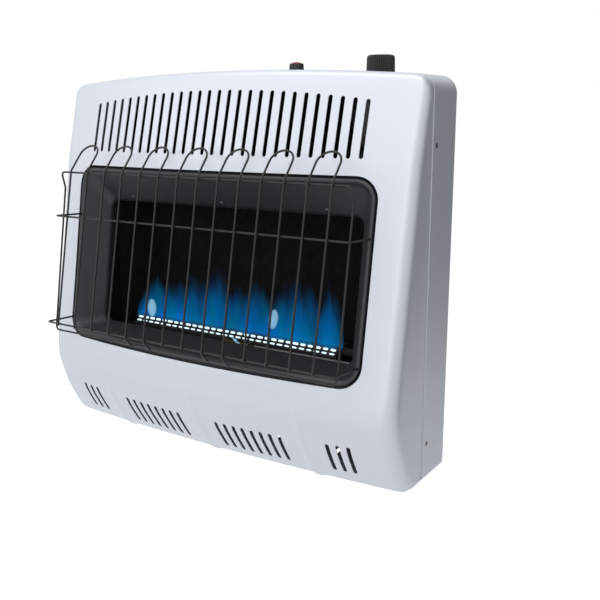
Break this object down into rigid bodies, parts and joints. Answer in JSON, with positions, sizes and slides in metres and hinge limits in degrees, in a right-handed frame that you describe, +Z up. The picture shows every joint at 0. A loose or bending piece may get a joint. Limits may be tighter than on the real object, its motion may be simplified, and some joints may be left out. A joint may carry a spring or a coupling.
{
  "type": "wall mounted gas heater",
  "caption": "Wall mounted blue-flame gas room heater: white two-shell slotted casing, dark fire opening with straight burner, wire guard, control knob and ignition button on top.",
  "frame": {"origin": "middle of the wall bracket's back face, on the wall plane", "axes": "+X to the viewer's right, +Y into the wall, +Z up"},
  "size_m": [0.6984, 0.2476, 0.6413],
  "materials": {
    "white_enamel": "gloss white baked enamel on pressed sheet steel",
    "surround_black": "satin charcoal heat-resistant enamel",
    "firebox_black": "matt black heat-resistant paint",
    "guard_black": "satin black coated wire",
    "burner_steel": "aluminised steel, heat tinted",
    "zinc": "bright zinc plated steel",
    "galvanised": "galvanised sheet steel",
    "brass": "machined brass",
    "aluminium": "die cast and drawn aluminium",
    "copper": "drawn copper",
    "knob_black": "moulded black plastic",
    "button_red": "moulded red plastic",
    "ceramic": "glazed white ceramic",
    "lead_red": "red silicone insulation"
  },
  "bodies": {
    "heater": {"front_cover": "white_enamel", "rear_shell": "white_enamel", "side_screw_left_lower": "zinc", "side_screw_left_upper": "zinc", "side_screw_right_lower": "zinc", "side_screw_right_upper": "zinc", "fire_surround": "surround_black", "surround_screw_1": "zinc", "surround_screw_2": "zinc", "surround_screw_3": "zinc", "firebox": "firebox_black", "firebox_floor": "firebox_black", "heat_hood": "firebox_black", "rear_heat_shield": "galvanised", "firebox_bracket_left": "galvanised", "firebox_bracket_right": "galvanised", "burner": "burner_steel", "burner_bracket_left": "galvanised", "burner_bracket_right": "galvanised", "venturi_tube": "burner_steel", "injector_holder": "brass", "pilot_burner": "brass", "thermocouple": "copper", "electrode_insulator": "ceramic", "electrode_tip": "zinc", "pilot_bracket": "galvanised", "gas_valve": "aluminium", "valve_bracket": "galvanised", "igniter_collar": "knob_black", "piezo_igniter": "knob_black", "gas_regulator": "aluminium", "inlet_fitting": "brass", "supply_pipe": "galvanised", "burner_feed_tube": "aluminium", "pilot_tube": "aluminium", "thermocouple_lead": "copper", "ignition_lead": "lead_red", "thermostat_bulb": "copper", "capillary_tube": "copper", "bulb_clip_left": "galvanised", "bulb_clip_right": "galvanised", "guard_hoop_1": "guard_black", "guard_hoop_2": "guard_black", "guard_hoop_3": "guard_black", "guard_hoop_4": "guard_black", "guard_hoop_5": "guard_black", "guard_hoop_6": "guard_black", "guard_hoop_7": "guard_black", "guard_middle_wire": "guard_black", "guard_lower_wire": "guard_black", "guard_frame": "guard_black", "wall_bracket": "galvanised"},
    "valve_push": {"valve_plunger": "brass"},
    "knob": {"valve_spindle": "zinc", "control_knob": "knob_black"},
    "button": {"igniter_button": "button_red"}
  },
  "joints": [
    {"name": "knob_push", "type": "slide", "parent": "heater", "child": "valve_push", "axis": [0, 0, -1], "range_m": [0, 0.003], "stiffness_N_per_m": 1500, "springref_m": -0.002},
    {"name": "knob_turn", "type": "hinge", "parent": "valve_push", "child": "knob", "pos_m": [0.2476, -0.045, 0.039], "axis": [0, 0, 1], "range_deg": [-270, 0]},
    {"name": "ignition_push", "type": "slide", "parent": "heater", "child": "button", "axis": [0, 0, -1], "range_m": [0, 0.004], "stiffness_N_per_m": 2000, "springref_m": -0.001}
  ]
}
